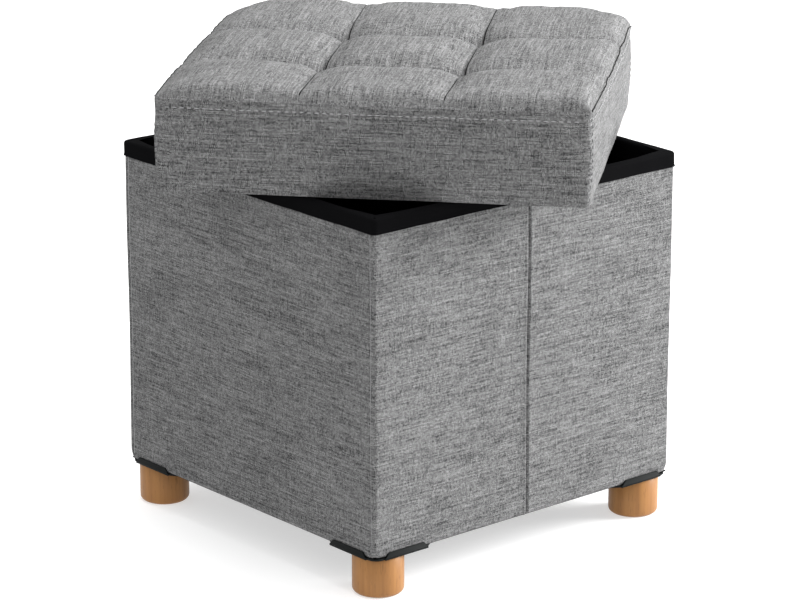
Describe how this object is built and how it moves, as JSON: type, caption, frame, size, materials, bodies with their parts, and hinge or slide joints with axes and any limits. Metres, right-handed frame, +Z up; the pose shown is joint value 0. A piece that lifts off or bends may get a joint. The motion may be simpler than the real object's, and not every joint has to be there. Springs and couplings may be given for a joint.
{
  "type": "storage ottoman",
  "caption": "Cloth-covered cube ottoman with round wooden feet, an open storage box and a button-free tufted lid that lifts straight off; the lid rests askew on the rim.",
  "frame": {"origin": "on the floor under the middle of the box; the lid lies askew, so the bounding box's middle is 4 mm further along X and Y", "axes": "+Z up; -Y is the plain front of the box, and the fold seams are on its -X and +X sides"},
  "size_m": [0.567, 0.567, 0.4724],
  "materials": {
    "grey_linen": "linen-look polyester, grey melange weave",
    "black_binding": "plain black woven binding",
    "black_nonwoven": "matt non-woven lining",
    "fibreboard": "raw fibreboard",
    "lined_board": "fibreboard wrapped in matt black non-woven cloth",
    "foam": "open-cell polyurethane foam",
    "beech": "turned beech, clear satin lacquer",
    "black_plastic": "moulded black polypropylene",
    "zinc_steel": "zinc-plated steel",
    "waxed_cord": "waxed polyester twine"
  },
  "bodies": {
    "box": {"back_board": "fibreboard", "back_cover": "grey_linen", "back_lining": "black_nonwoven", "base_cloth": "black_nonwoven", "bottom_board": "lined_board", "corner_bracket_back_left": "black_plastic", "corner_bracket_back_right": "black_plastic", "corner_bracket_front_left": "black_plastic", "corner_bracket_front_right": "black_plastic", "flange_nut_back_left": "zinc_steel", "flange_nut_back_right": "zinc_steel", "flange_nut_front_left": "zinc_steel", "flange_nut_front_right": "zinc_steel", "foot_back_left": "beech", "foot_back_right": "beech", "foot_front_left": "beech", "foot_front_right": "beech", "front_board": "fibreboard", "front_cover": "grey_linen", "front_lining": "black_nonwoven", "hanger_bolt_back_left": "zinc_steel", "hanger_bolt_back_right": "zinc_steel", "hanger_bolt_front_left": "zinc_steel", "hanger_bolt_front_right": "zinc_steel", "left_cover": "grey_linen", "left_lining": "black_nonwoven", "pull_tab": "black_binding", "right_cover": "grey_linen", "right_lining": "black_nonwoven", "rim_binding_back": "black_binding", "rim_binding_front": "black_binding", "rim_binding_left": "black_binding", "rim_binding_right": "black_binding", "side_board_back_left": "fibreboard", "side_board_back_right": "fibreboard", "side_board_front_left": "fibreboard", "side_board_front_right": "fibreboard"},
    "lid": {"cushion_cover": "grey_linen", "foam_pad": "foam", "lid_band_back": "grey_linen", "lid_band_front": "grey_linen", "lid_band_left": "grey_linen", "lid_band_right": "grey_linen", "lid_board": "fibreboard", "lid_lining": "black_nonwoven", "lid_skirt_back": "lined_board", "lid_skirt_front": "lined_board", "lid_skirt_left": "lined_board", "lid_skirt_right": "lined_board", "tuft_cord_back_left": "waxed_cord", "tuft_cord_back_right": "waxed_cord", "tuft_cord_front_left": "waxed_cord", "tuft_cord_front_right": "waxed_cord", "tuft_washer_back_left": "zinc_steel", "tuft_washer_back_right": "zinc_steel", "tuft_washer_front_left": "zinc_steel", "tuft_washer_front_right": "zinc_steel"}
  },
  "joints": [
    {"name": "lid_lift", "type": "slide", "parent": "box", "child": "lid", "axis": [0, 0, 1], "range_m": [0, 0.25]}
  ]
}
